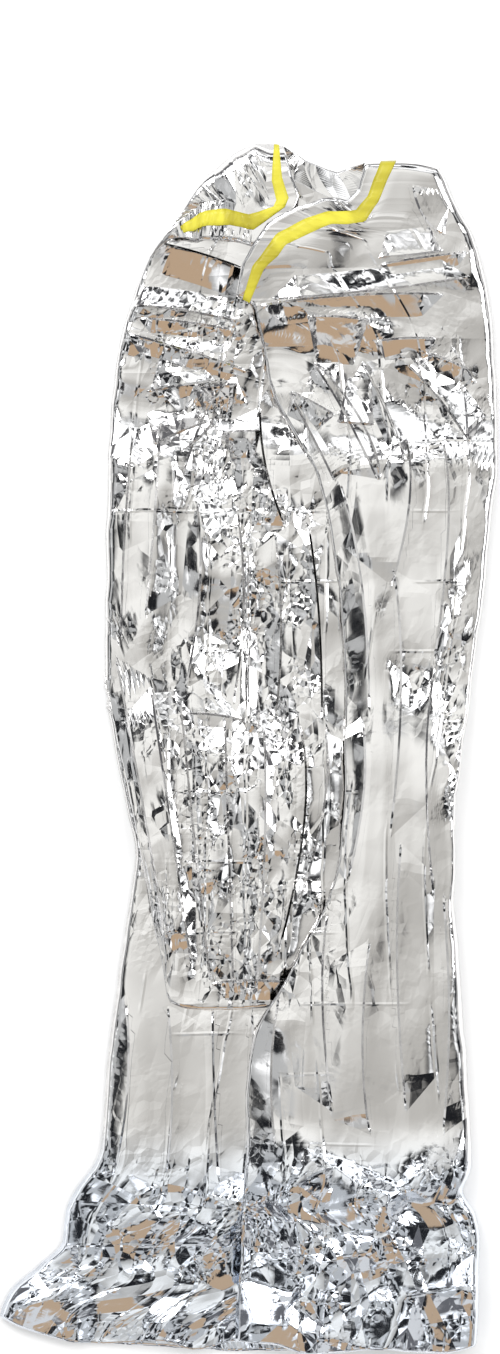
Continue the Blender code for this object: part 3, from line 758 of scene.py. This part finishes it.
# %% [markdown]
# ## Sharp crests for the material
#
# The grid is too coarse for the sharp crest of a crease, so the material gets the creases as
# well. A vertex can hold how far it lies beside a crease, as a signed number. That is linear
# across the crease, so it stays exact between the vertices, and a height less a slope times
# that distance has a crest as sharp as a pixel. Creases that lie far apart can share one such
# attribute. Two more hold the height, which fades to nothing at both ends, and the slope.

# %% Sort the creases into sets whose members lie apart, and measure each vertex against them
CREASE_SETS = 9
STEEP_WIDTH = 0.003
MARGIN = 0.008
END_FADE = 0.12
TINY = 1e-6


def crease_sets(x, y, on_layer):
    """For each set: the distance beside its creases, their heights, and their gentle slopes."""
    aside = np.full((CREASE_SETS,) + x.shape, 1.0)
    tall = np.zeros((CREASE_SETS,) + x.shape)
    gentle = np.zeros((CREASE_SETS,) + x.shape)
    left_out = 0
    rows = [(layer, *row) for layer in CREASES for row in CREASES[layer]]
    for layer, *corners, wide, height in rows:
        signed, passed = beside(x, y, corners)
        near = (signed < wide * MM + MARGIN) & (signed > -STEEP_WIDTH - MARGIN) & on_layer[layer]
        fade = np.clip(np.minimum(passed, 1 - passed) / END_FADE, 0, 1)
        free = [i for i in range(CREASE_SETS) if not (near & (tall[i] > 0)).any()]
        if not free:
            left_out += 1
            continue
        i = free[0]
        aside[i] = np.where(near, signed, aside[i])
        tall[i] = np.where(near, np.maximum(height * MM * fade, TINY), tall[i])
        gentle[i] = np.where(near, height / wide, gentle[i])
    print("creases without a set:", left_out)
    return {"aside": aside, "tall": tall, "gentle": gentle}


print("sets of creases:", CREASE_SETS)

# %% [markdown]
# ## Uneven edges and the smallest forms of the mesh
#
# Cut film never has a quite straight edge, and no part of it is quite flat. The same facets
# move the whole sheet a little sideways, and a finer set moves it along its normals, less
# where a layer is hidden, so that layers stay clear of each other.

# %% Uneven edges and small crumples along the normals
EDGE_WANDER = 0.05
EDGE_PITCH = 0.07
EDGE_SEEDS = (41, 53)
SMALL_PITCH = 0.05
SMALL_SLOPE = 0.02
SMALL_SEED = 5
SHORTEST = 1e-12


def normals_of(points):
    """Unit normals of a grid."""
    cross = np.cross(np.gradient(points, axis=1), np.gradient(points, axis=0))
    return cross / np.maximum(np.linalg.norm(cross, axis=2, keepdims=True), SHORTEST)


u, v = flat_map[..., 0], flat_map[..., 1]
for axis, seed in enumerate(EDGE_SEEDS):
    sheet[..., axis] += EDGE_WANDER * facets(u, v, EDGE_PITCH, seed)
left_end = len(LEFT_SHARES) - 1
right_start = left_end + len(BACK_SHARES) - 1
exposed = np.ones(sheet.shape[:2])
seen = shown(sheet[..., 0] + middle[0], sheet[..., 1] + middle[1])[:, :left_end]
exposed[:, :left_end] = (seen - (1 - COVERED)) / COVERED
exposed[ROWS > SHOULDER_ROW, left_end:right_start] = 0
exposed[(ROWS > POUCH_ROW) & (ROWS < TUCK_ROW), :left_end] = 0
small = SMALL_SLOPE * amount * exposed * facets(u, v, SMALL_PITCH, SMALL_SEED)
sheet += normals_of(sheet) * small[..., None]
sheet[..., 2] = np.maximum(sheet[..., 2], FILM_THICK / 2)
print("small crumples, in mm:", (np.abs(small).max() / MM).round(2))

# %% Put the grid into a mesh
body = bpy.data.collections.new("foil_blanket")
bpy.context.scene.collection.children.link(body)


def add_grid(name, points, uv, thick, values):
    """A grid of points as one sheet of quads with its UV map, made solid."""
    height, width = points.shape[:2]
    index = np.arange(height * width).reshape(height, width)
    quads = np.dstack([index[:-1, :-1], index[1:, :-1], index[1:, 1:], index[:-1, 1:]])
    mesh = bpy.data.meshes.new(name)
    mesh.from_pydata(points.reshape(-1, 3), [], quads.reshape(-1, 4))
    corner = np.empty(len(mesh.loops), np.int32)
    mesh.loops.foreach_get("vertex_index", corner)
    layer = mesh.uv_layers.new(name="flat")
    layer.uv.foreach_set("vector", uv.reshape(-1, 2)[corner].astype(np.float32).ravel())
    for key, numbers in values.items():
        attribute = mesh.attributes.new(key, "FLOAT", "POINT")
        attribute.data.foreach_set("value", numbers.astype(np.float32).ravel())
    mesh.shade_smooth()
    mesh.update()
    piece = bpy.data.objects.new(name, mesh)
    body.objects.link(piece)
    shell = piece.modifiers.new("thickness", "SOLIDIFY")
    shell.thickness = thick
    shell.offset = 0
    return piece


plan_x, plan_y = sheet[..., 0] + middle[0], sheet[..., 1] + middle[1]
places = {"crumple": amount, "banded": smooth(plan_y, *BANDED_FOOT), "heap": heap(plan_x, plan_y)}
row_of, column_of = np.meshgrid(ROWS, np.arange(sheet.shape[1]), indexing="ij")
on_layer = {
    "left": (column_of < left_end) & (row_of <= POUCH_ROW),
    "low": (column_of < left_end) & (row_of >= TUCK_ROW),
    "right": column_of > right_start,
}
for key, numbers in crease_sets(plan_x, plan_y, on_layer).items():
    for i in range(CREASE_SETS):
        places[f"{key}_{i}"] = numbers[i]
foil = add_grid("foil", sheet, flat_map, FILM_THICK, places)
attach(foil, "root")
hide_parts("foil_sheet")
print("foil:", len(foil.data.polygons), "quads before it is made solid")

# %% [markdown]
# ## The yellow tape
#
# A strip of yellow tape edges the film along the opening at the top. It is stuck on, so it
# takes every crumple of the film below it. The two strips are cut from the same grid, between the rows
# where the tape starts and ends, and lifted off the film by its thickness.

# %% Cut the two tapes from the sheet's grid
TAPE_THICK = 0.0006
PIECE_GAP = 0.0003
taped_rows = (ROWS >= TAPE_ROWS[0]) & (ROWS <= TAPE_ROWS[1])
lift = SHEET_THICK / 2 + PIECE_GAP + TAPE_THICK / 2
lifted = sheet + normals_of(sheet) * lift


def add_tape(name, node, columns, shares, painted_lights):
    """The tape over a run of the grid's columns, with a share of painted light for each length of it."""
    taped = lifted[taped_rows][:, columns]
    painted_light = np.interp(shares[None, :], *np.transpose(painted_lights)) + np.zeros(taped.shape[:2])
    tape = add_grid(name, taped, flat_map[taped_rows][:, columns], TAPE_THICK, {"painted_light": painted_light})
    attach(tape, "root")
    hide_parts(node)
    return tape


# Painted light and painted shade along each tape: share, and how much of the lit yellow it gets, low
# where a length turns away from the light.
COLLAR_PAINTED_LIGHT = ((0.08, 0.7), (0.26, 0.9), (0.28, 0.15), (0.38, 0.2), (0.41, 0.8), (0.56, 1.0))
FRONT_PAINTED_LIGHT = (
    (0, 0.2), (0.3, 0.35), (0.33, 1.0), (0.5, 0.9), (0.53, 0.75), (0.7, 0.8), (0.73, 0.1), (1, 0.4)
)
first, last = (np.argmin(np.abs(BACK_SHARES - share)) for share in COLLAR_TAPE)
collar_run = slice(left_end + first, left_end + last + 1)
collar_shares = BACK_SHARES[first:last + 1]
front_run = slice(right_start, None)
collar_strip = add_tape("collar_strip", "collar_tape", collar_run, collar_shares, COLLAR_PAINTED_LIGHT)
front_strip = add_tape("front_strip", "front_tape", front_run, RIGHT_SHARES, FRONT_PAINTED_LIGHT)
print("tapes:", len(collar_strip.data.polygons), "and", len(front_strip.data.polygons), "quads")

# %% [markdown]
# ## The foil's finish
#
# The coat is a mirror, so the base colour is near white and nearly all of the look is
# reflection. The fine crumples are too small for the grid: they are facets again, now as
# bump, worked out from two Voronoi textures by the same difference of squares. They read
# the unrolled sheet's UV, and the crumple attribute says how deep they are.

# %% Helpers for node trees
def new_material(name):
    """An empty Principled material, its tree and its shader."""
    material = bpy.data.materials.new(name)
    material.use_nodes = True
    tree = material.node_tree
    return material, tree, tree.nodes["Principled BSDF"]


def feed(tree, socket, value):
    """Links an output to a socket, or sets the socket's value."""
    if isinstance(value, bpy.types.NodeSocket):
        tree.links.new(value, socket)
    else:
        socket.default_value = value


def put(tree, kind, inputs=(), **settings):
    """A node with its settings, and with its inputs linked or set."""
    node = tree.nodes.new(kind)
    for key, value in settings.items():
        setattr(node, key, value)
    for key, value in dict(inputs).items():
        feed(tree, node.inputs[key], value)
    return node


def maths(tree, operation, *values, clamp=False):
    """A Math node over outputs or numbers."""
    inputs = dict(enumerate(values))
    return put(tree, "ShaderNodeMath", inputs, operation=operation, use_clamp=clamp).outputs[0]


def plus(tree, *values):
    """The sum of all the values, from the left."""
    total = values[0]
    for value in values[1:]:
        total = maths(tree, "ADD", total, value)
    return total


def times(tree, first, second):
    """The product of two values."""
    return maths(tree, "MULTIPLY", first, second)


def between(tree, share, first, second):
    """One height at share 0, another at share 1: first + share (second - first)."""
    return plus(tree, first, times(tree, share, maths(tree, "SUBTRACT", second, first)))


def ramp(tree, value, start, end):
    """0 at start and 1 at end, smoothly."""
    inputs = {"Value": value, "From Min": start, "From Max": end}
    node = put(tree, "ShaderNodeMapRange", inputs, interpolation_type="SMOOTHSTEP")
    return node.outputs["Result"]


def mixed(tree, share, first, second):
    """A colour between two, by share."""
    inputs = {0: share, 6: first, 7: second}
    return put(tree, "ShaderNodeMix", inputs, data_type="RGBA").outputs[2]


def shifted(tree, where, shift, scale=(1, 1, 1)):
    """The coordinates times a scale, plus a shift."""
    inputs = {"Vector": where, "Location": shift, "Scale": scale}
    return put(tree, "ShaderNodeMapping", inputs).outputs["Vector"]


def noise(tree, where, scale, detail=2.0, dimensions="2D"):
    """Soft noise about 0.5."""
    inputs = {"Vector": where, "Scale": scale, "Detail": detail}
    return put(tree, "ShaderNodeTexNoise", inputs, noise_dimensions=dimensions).outputs["Fac"]


def stored(tree, key):
    """What the mesh holds at each vertex under this name."""
    return put(tree, "ShaderNodeAttribute", attribute_name=key).outputs["Fac"]


def raise_surface(tree, shader, height):
    """Gives the shader a bump of this height, in metres."""
    bump = put(tree, "ShaderNodeBump", {"Strength": 1.0, "Distance": 1.0, "Height": height})
    feed(tree, shader.inputs["Normal"], bump.outputs["Normal"])


print("node helpers ready")

# %% Facets, patches and creases as nodes
SHIFT_UP = 0.7
CREASE_HALF = 0.0028
CREASE_DEPTH = 0.0004
CREST_SHARE = 0.8


def facet_height(tree, where, sizes, turn=0.0):
    """Slope times pitch times the difference of two Voronoi textures' squared distances.

    Sizes are the cells' pitch, their slope, their length as so many widths, and the shift
    between the two textures. Turn tips the cells over, in radians.
    """
    pitch, slope, stretch, shift = sizes
    inputs = {"Vector": where, "Angle": turn}
    turned = put(tree, "ShaderNodeVectorRotate", inputs, rotation_type="Z_AXIS")
    scale = (1 / pitch, 1 / (pitch * stretch), 1)
    squares = []
    for offset in (0.0, shift):
        place = shifted(tree, turned.outputs["Vector"], (offset, offset * SHIFT_UP, 0), scale)
        inputs = {"Vector": place, "Scale": 1.0}
        cells = put(tree, "ShaderNodeTexVoronoi", inputs, voronoi_dimensions="2D")
        squares.append(maths(tree, "POWER", cells.outputs["Distance"], 2.0))
    return times(tree, times(tree, maths(tree, "SUBTRACT", *squares), pitch), slope)


def field(tree, where, scale, low, high, shift=0.0):
    """Patches: 0 where noise of this scale is under low, 1 where it is over high."""
    place = shifted(tree, where, (shift, shift, 0))
    return ramp(tree, noise(tree, place, scale), low, high)


def packing_crease(tree, along, pitch, strength):
    """A narrow crest every pitch metres: depth times 1 less the distance over the half width."""
    nearest = maths(tree, "PINGPONG", along, pitch / 2)
    aside = maths(tree, "DIVIDE", nearest, CREASE_HALF)
    crest = maths(tree, "SUBTRACT", 1.0, aside, clamp=True)
    return times(tree, crest, times(tree, strength, CREASE_DEPTH))


def sharp_crease(tree, i):
    """One set of creases: the height, less the slope of its side times the distance."""
    aside, tall, gentle = (stored(tree, f"{key}_{i}") for key in ("aside", "tall", "gentle"))
    steep = times(tree, tall, maths(tree, "DIVIDE", aside, -STEEP_WIDTH))
    fallen = maths(tree, "MAXIMUM", times(tree, aside, gentle), steep)
    crest = maths(tree, "MAXIMUM", maths(tree, "SUBTRACT", tall, fallen), 0.0)
    return times(tree, crest, CREST_SHARE)


print("packing creases:", round(2 * CREASE_HALF / MM, 1), "mm wide")

# %% Foil material. Facets: pitch, slope, stretch, shift. Patches: scale, low, high, shift
PLEATS = (0.095, 0.13, 2.0, 1.3)
BANDS = (0.095, 0.13, 2.0, 2.9)
BLOCKS = (0.12, 0.19, 1.1, 4.1)
MIDDLING = (0.045, 0.11, 1.6, 2.2)
FINE = (0.018, 0.13, 1.3, 3.1)
FINEST = (0.008, 0.07, 1.0, 5.7)
MIDDLING_PATCHES = (7.0, 0.38, 0.50, 5.0)
FINE_PATCHES = (9.0, 0.46, 0.56, 0.0)
FINEST_PATCHES = (17.0, 0.48, 0.60, 3.0)
FINEST_EVERYWHERE = 0.10
BAND_TURN = 1.25
BANDED_MIDDLE = 1.4
BANDED_LEAN = 0.125
PACKING_SCALE = 6.0
PACKING_LOW = (0.42, 0.54)
PACKING_SOFTNESS = 0.12
PACKING_SHIFT = 50
GRAIN_SCALE = 60.0
LEAST_ROUGH, MOST_ROUGH = 0.04, 0.14
COAT = (0.92, 0.91, 0.90, 1)
# Painted reflection: a bluish base colour in the heap stands in for the cool light its facets reflect.
COAT_WITH_PAINTED_REFLECTION = (0.88, 0.92, 0.98, 1)


def foil_material():
    """A mirror coat on film, with facets, creases and packing creases as bump, and a painted bluish
    reflection in the heap.
    """
    material, tree, shader = new_material("crinkled_foil")
    where = put(tree, "ShaderNodeUVMap", uv_map="flat").outputs["UV"]
    amount, banded, in_heap = (stored(tree, key) for key in ("crumple", "banded", "heap"))

    pleats = facet_height(tree, where, PLEATS)
    bands = facet_height(tree, where, BANDS, BAND_TURN)
    blocks = facet_height(tree, where, BLOCKS)
    large = between(tree, in_heap, between(tree, banded, pleats, bands), blocks)
    middling = times(
        tree, facet_height(tree, where, MIDDLING), field(tree, where, *MIDDLING_PATCHES)
    )
    fine = times(tree, facet_height(tree, where, FINE), field(tree, where, *FINE_PATCHES))
    where_finest = plus(tree, field(tree, where, *FINEST_PATCHES), FINEST_EVERYWHERE)
    finest = times(tree, facet_height(tree, where, FINEST), where_finest)
    total = plus(tree, plus(tree, large, middling), plus(tree, fine, finest))

    axes = put(tree, "ShaderNodeSeparateXYZ", {0: where}).outputs
    above_middle = maths(tree, "SUBTRACT", axes["Y"], BANDED_MIDDLE)
    lean = times(tree, above_middle, times(tree, banded, BANDED_LEAN))
    sharp = [sharp_crease(tree, i) for i in range(CREASE_SETS)]
    height = plus(tree, times(tree, total, amount), lean, *sharp)
    for axis, pitch, low in zip(axes, PANEL, PACKING_LOW):
        patches = (PACKING_SCALE, low, low + PACKING_SOFTNESS, pitch * PACKING_SHIFT)
        strength = field(tree, where, *patches)
        height = plus(tree, height, packing_crease(tree, axis, pitch, strength))
    raise_surface(tree, shader, height)

    grain = noise(tree, where, GRAIN_SCALE)
    inputs = {"Value": grain, "To Min": LEAST_ROUGH, "To Max": MOST_ROUGH}
    rough = put(tree, "ShaderNodeMapRange", inputs)
    feed(tree, shader.inputs["Roughness"], rough.outputs["Result"])
    # Painted reflection: the base colour turns bluish in the heap.
    feed(tree, shader.inputs["Base Color"], mixed(tree, in_heap, COAT, COAT_WITH_PAINTED_REFLECTION))
    shader.inputs["Metallic"].default_value = 1.0
    return material


foil.data.materials.append(foil_material())
print("foil finish:", foil.data.materials[0].name)

# %% [markdown]
# The tape is thin yellow plastic. Its colour carries painted light and painted shade: a lit yellow on
# lengths that face the light and a shaded one on lengths that turn away, with blotches of tone at random.
# It has a soft sheen with faint lengthwise wrinkles.

# %% Tape material
# Painted shade and painted light: a shaded and a lit copy of the same yellow.
PAINTED_SHADE_YELLOW = (0.42, 0.36, 0.015, 1)
PAINTED_LIT_YELLOW = (0.74, 0.67, 0.05, 1)
BLOTCH_SCALE, BLOTCH_DETAIL = 45.0, 3.0
WRINKLES = (0.012, 0.08, 1.0, 2.3)
TAPE_ROUGH = 0.38


def tape_material():
    """Satin yellow plastic with faint wrinkles, and painted light and painted shade along its lengths."""
    material, tree, shader = new_material("yellow_edge_tape")
    where = put(tree, "ShaderNodeUVMap", uv_map="flat").outputs["UV"]
    blotches = noise(tree, where, BLOTCH_SCALE, BLOTCH_DETAIL)
    off_middle = maths(tree, "SUBTRACT", blotches, 0.5)
    # Painted light and shade for each length, plus blotches of tone at random.
    painted_light_and_blotches = maths(tree, "ADD", stored(tree, "painted_light"), off_middle, clamp=True)
    feed(tree, shader.inputs["Base Color"], mixed(tree, painted_light_and_blotches, PAINTED_SHADE_YELLOW, PAINTED_LIT_YELLOW))
    raise_surface(tree, shader, facet_height(tree, where, WRINKLES))
    shader.inputs["Roughness"].default_value = TAPE_ROUGH
    return material


yellow = tape_material()
for strip in (collar_strip, front_strip):
    strip.data.materials.append(yellow)
print("tape finish:", yellow.name)

# %% [markdown]
# ## Studio
#
# A mirror shows its surroundings, so the studio is part of the finish. Straight above, where
# level panels look, it is a soft grey that brightens towards one side. Around that lie patches
# of soft light and patches that are nearly black, a warm wooden tone towards the hem, and a
# wide lamp on the other side. Low down it is a pale or dark rim. A ray from the camera that
# misses everything sees only a plain white backdrop.

# %% Surroundings: colours, and where each of them starts and is complete
DIM_GREY = (0.50, 0.49, 0.47, 1)
BRIGHT_GREY = (1.0, 1.0, 0.98, 1)
MIDDLE_GREY = (0.50, 0.51, 0.52, 1)
LAMP_WHITE = (1.35, 1.37, 1.40, 1)
WARM_WOOD = (0.52, 0.38, 0.26, 1)
NEAR_BLACK = (0.012, 0.013, 0.016, 1)
PALE_RIM = (0.70, 0.70, 0.70, 1)
DARK_RIM = (0.14, 0.14, 0.15, 1)
PLAIN_WHITE = (1.0, 1.0, 1.0, 1)
SPOT_NOISE = (2.6, 1.5, "3D")
GAP_NOISE = (3.4, 1.0, "3D")
GAP_SHIFT = (4.0, 1.0, 7.0)
ACROSS_SHARE = -0.6
BRIGHTER = (-0.36, 0.36)
LAMPS = (0.48, 0.64)
BLACK_GAPS = (0.45, 0.51)
WARM_ALONG, WARM_ACROSS = (-0.45, -0.50), (0.28, 0.24)
LIT_ALONG, LIT_GAPS = (0.36, 0.46), (0.58, 0.56)
RIM_SPOTS = (0.47, 0.52)
RIM_AWAY = (0.86, 0.90)
OVERHEAD_AWAY = (0.30, 0.44)


def studio_world():
    """Colour by the direction of the ray: grey overhead, then bright, dark and warm fields."""
    world = bpy.data.worlds.new("studio")
    world.use_nodes = True
    tree = world.node_tree
    ray = put(tree, "ShaderNodeTexCoord").outputs["Generated"]
    axes = put(tree, "ShaderNodeSeparateXYZ", {0: ray}).outputs
    across, along = axes["X"], axes["Y"]
    spots = noise(tree, ray, *SPOT_NOISE)
    gaps = noise(tree, shifted(tree, ray, GAP_SHIFT), *GAP_NOISE)
    square = plus(tree, maths(tree, "POWER", across, 2.0), maths(tree, "POWER", along, 2.0))
    away = maths(tree, "SQRT", square)

    slanted = plus(tree, along, times(tree, across, ACROSS_SHARE))
    overhead = mixed(tree, ramp(tree, slanted, *BRIGHTER), DIM_GREY, BRIGHT_GREY)
    around = mixed(tree, ramp(tree, spots, *LAMPS), MIDDLE_GREY, LAMP_WHITE)
    around = mixed(tree, ramp(tree, gaps, *BLACK_GAPS), around, NEAR_BLACK)
    level = maths(tree, "ABSOLUTE", across)
    warm = times(tree, ramp(tree, along, *WARM_ALONG), ramp(tree, level, *WARM_ACROSS))
    around = mixed(tree, warm, around, WARM_WOOD)
    lit = times(tree, ramp(tree, along, *LIT_ALONG), ramp(tree, gaps, *LIT_GAPS))
    around = mixed(tree, lit, around, LAMP_WHITE)
    rim = mixed(tree, ramp(tree, spots, *RIM_SPOTS), DARK_RIM, PALE_RIM)
    around = mixed(tree, ramp(tree, away, *RIM_AWAY), around, rim)
    colour = mixed(tree, ramp(tree, away, *OVERHEAD_AWAY), overhead, around)

    path = put(tree, "ShaderNodeLightPath").outputs
    plain = maths(tree, "ADD", path["Is Camera Ray"], path["Is Diffuse Ray"], clamp=True)
    feed(tree, tree.nodes["Background"].inputs["Color"], mixed(tree, plain, colour, PLAIN_WHITE))
    return world


scene = bpy.context.scene
scene.world = studio_world()
scene.view_settings.view_transform = "Standard"
print("world:", scene.world.name)

# %% Floor and soft lights
FLOOR_HALF = 6.0
FLOOR_DROP = 0.0005
FLOOR_COLOUR = (0.93, 0.93, 0.93, 1)
FLOOR_ROUGH = 0.7
SOFT_LIGHTS = (("key", (-1.6, 2.6, 3.0), 2.0, 60), ("fill", (2.6, 0.6, 2.8), 1.6, 30))


def add_floor():
    """A plain pale floor under the blanket."""
    mesh = bpy.data.meshes.new("floor")
    corners = [(-FLOOR_HALF, -FLOOR_HALF, 0), (FLOOR_HALF, -FLOOR_HALF, 0)]
    corners += [(FLOOR_HALF, FLOOR_HALF, 0), (-FLOOR_HALF, FLOOR_HALF, 0)]
    mesh.from_pydata(corners, [], [(0, 1, 2, 3)])
    floor = bpy.data.objects.new("floor", mesh)
    scene.collection.objects.link(floor)
    material, _, shader = new_material("pale_floor")
    shader.inputs["Base Color"].default_value = FLOOR_COLOUR
    shader.inputs["Roughness"].default_value = FLOOR_ROUGH
    mesh.materials.append(material)
    floor.location.z = -FLOOR_DROP


def add_soft_light(name, place, size, power):
    """A square soft light that faces the middle of the floor."""
    light = bpy.data.lights.new(name, "AREA")
    light.size = size
    light.energy = power
    lamp = bpy.data.objects.new(name, light)
    lamp.location = place
    lamp.rotation_mode = "QUATERNION"
    lamp.rotation_quaternion = lamp.location.to_track_quat("Z", "Y")
    scene.collection.objects.link(lamp)


add_floor()
for light in SOFT_LIGHTS:
    add_soft_light(*light)
print("lights:", [light[0] for light in SOFT_LIGHTS])

# %% [markdown]
# ## Camera
#
# The blanket lies on the floor with the camera straight above it, so that the picture has
# the photograph's outline. One pixel of the photograph is 1.36 mm on the floor.

# %% Camera straight above
PIXEL = 0.00136
FRAME_PIXELS = (500, 1354)
HEM_PIXEL = 1350
CAMERA_HEIGHT = 4.5
camera_data = bpy.data.cameras.new("camera")
camera = bpy.data.objects.new("camera", camera_data)
scene.collection.objects.link(camera)
camera_data.lens = camera_data.sensor_width * CAMERA_HEIGHT / (FRAME_PIXELS[1] * PIXEL)
camera.location = (-middle[0], (HEM_PIXEL - FRAME_PIXELS[1] / 2) * PIXEL - middle[1], CAMERA_HEIGHT)
scene.camera = camera
print("lens", round(camera_data.lens, 2), "mm at", camera.location[:])
